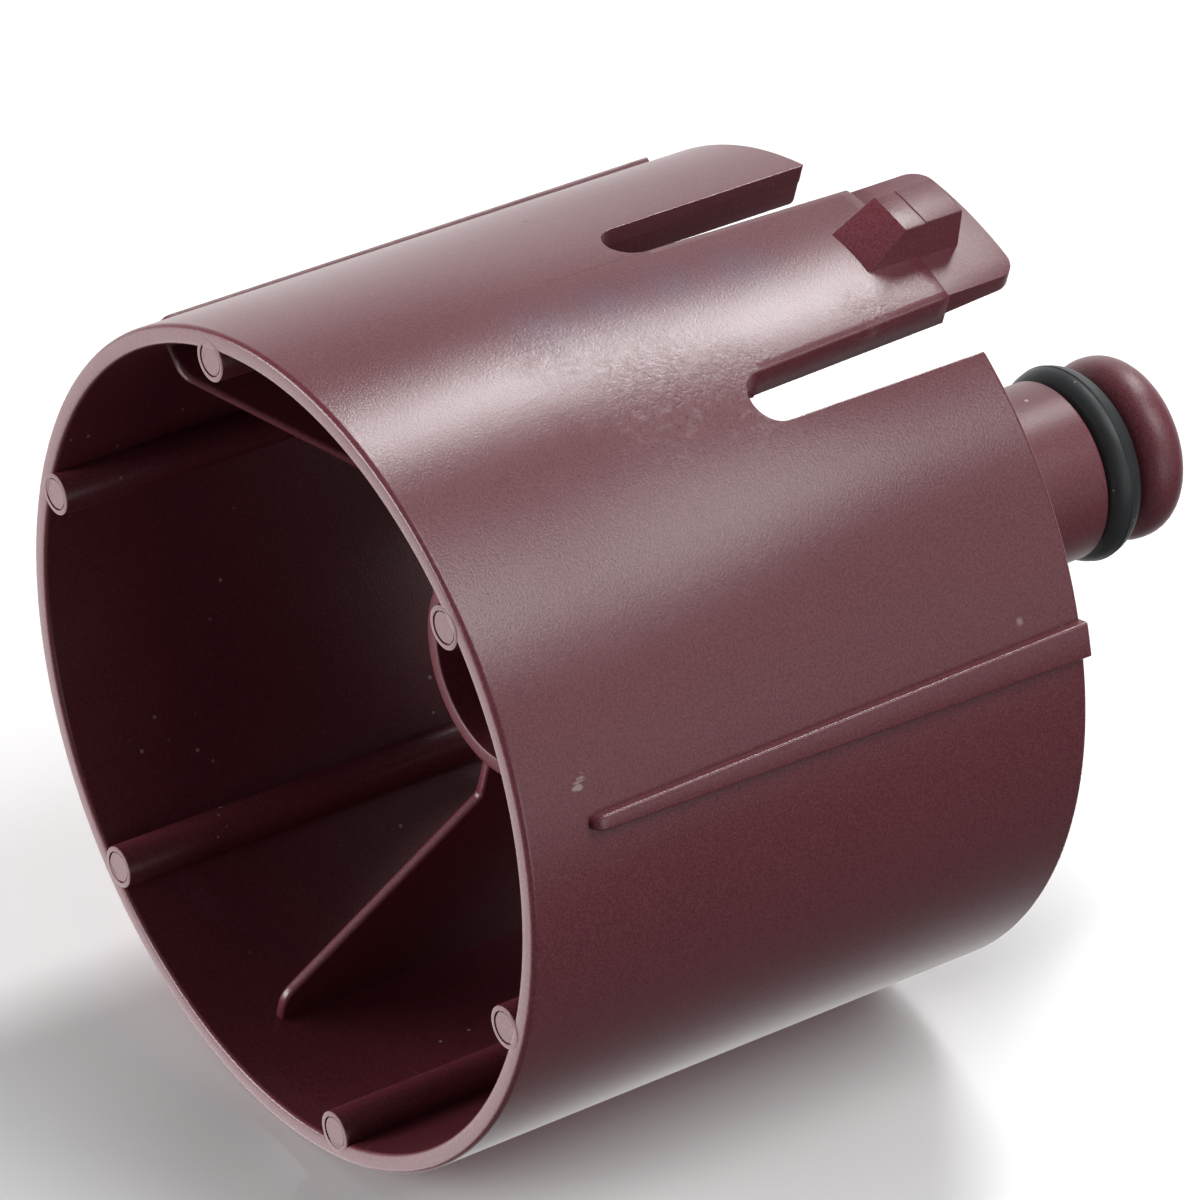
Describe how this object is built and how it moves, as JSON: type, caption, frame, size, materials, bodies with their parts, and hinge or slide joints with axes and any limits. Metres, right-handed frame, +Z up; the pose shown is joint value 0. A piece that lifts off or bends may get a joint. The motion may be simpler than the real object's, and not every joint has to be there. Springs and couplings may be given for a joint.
{
  "type": "rock tumbler barrel",
  "caption": "Open-ended moulded barrel with a snap latch between two slots, outer guide ribs, inner webs and a rear spigot sealed by an O-ring.",
  "frame": {"origin": "centre of the mouth, on the barrel's axis at the mouth rim's plane", "axes": "+Y along the barrel's axis from the mouth towards the spigot, +Z up, with the barrel lying on its wall and its lower guide rib"},
  "size_m": [0.046, 0.0576, 0.0475],
  "materials": {
    "burgundy_plastic": "satin moulded burgundy plastic with a fine grain",
    "rubber": "smooth dark grey rubber with a fine parting line"
  },
  "bodies": {
    "barrel": {"barrel_shell": "burgundy_plastic", "guide_rib_upper": "burgundy_plastic", "guide_rib_side": "burgundy_plastic", "guide_rib_lower": "burgundy_plastic", "ejector_rib_1": "burgundy_plastic", "ejector_rib_2": "burgundy_plastic", "ejector_rib_3": "burgundy_plastic", "ejector_rib_4": "burgundy_plastic", "ejector_rib_5": "burgundy_plastic", "ejector_rib_6": "burgundy_plastic", "web_upper": "burgundy_plastic", "web_side": "burgundy_plastic", "web_lower": "burgundy_plastic", "hub_tube": "burgundy_plastic", "slot_cheek_left": "burgundy_plastic", "slot_cheek_right": "burgundy_plastic", "latch_root": "burgundy_plastic", "spigot_stem": "burgundy_plastic", "spigot_neck": "burgundy_plastic", "spigot_disc": "burgundy_plastic", "o_ring": "rubber"},
    "latch": {"latch_arm": "burgundy_plastic", "latch_hook": "burgundy_plastic", "latch_tip": "burgundy_plastic"}
  },
  "joints": [
    {"name": "latch_flex", "type": "hinge", "parent": "barrel", "child": "latch", "pos_m": [0.00566, 0.02226, 0.02074], "axis": [-0.9648, 0, 0.2631], "range_deg": [0, 7], "stiffness_Nm_per_rad": 1.5}
  ]
}
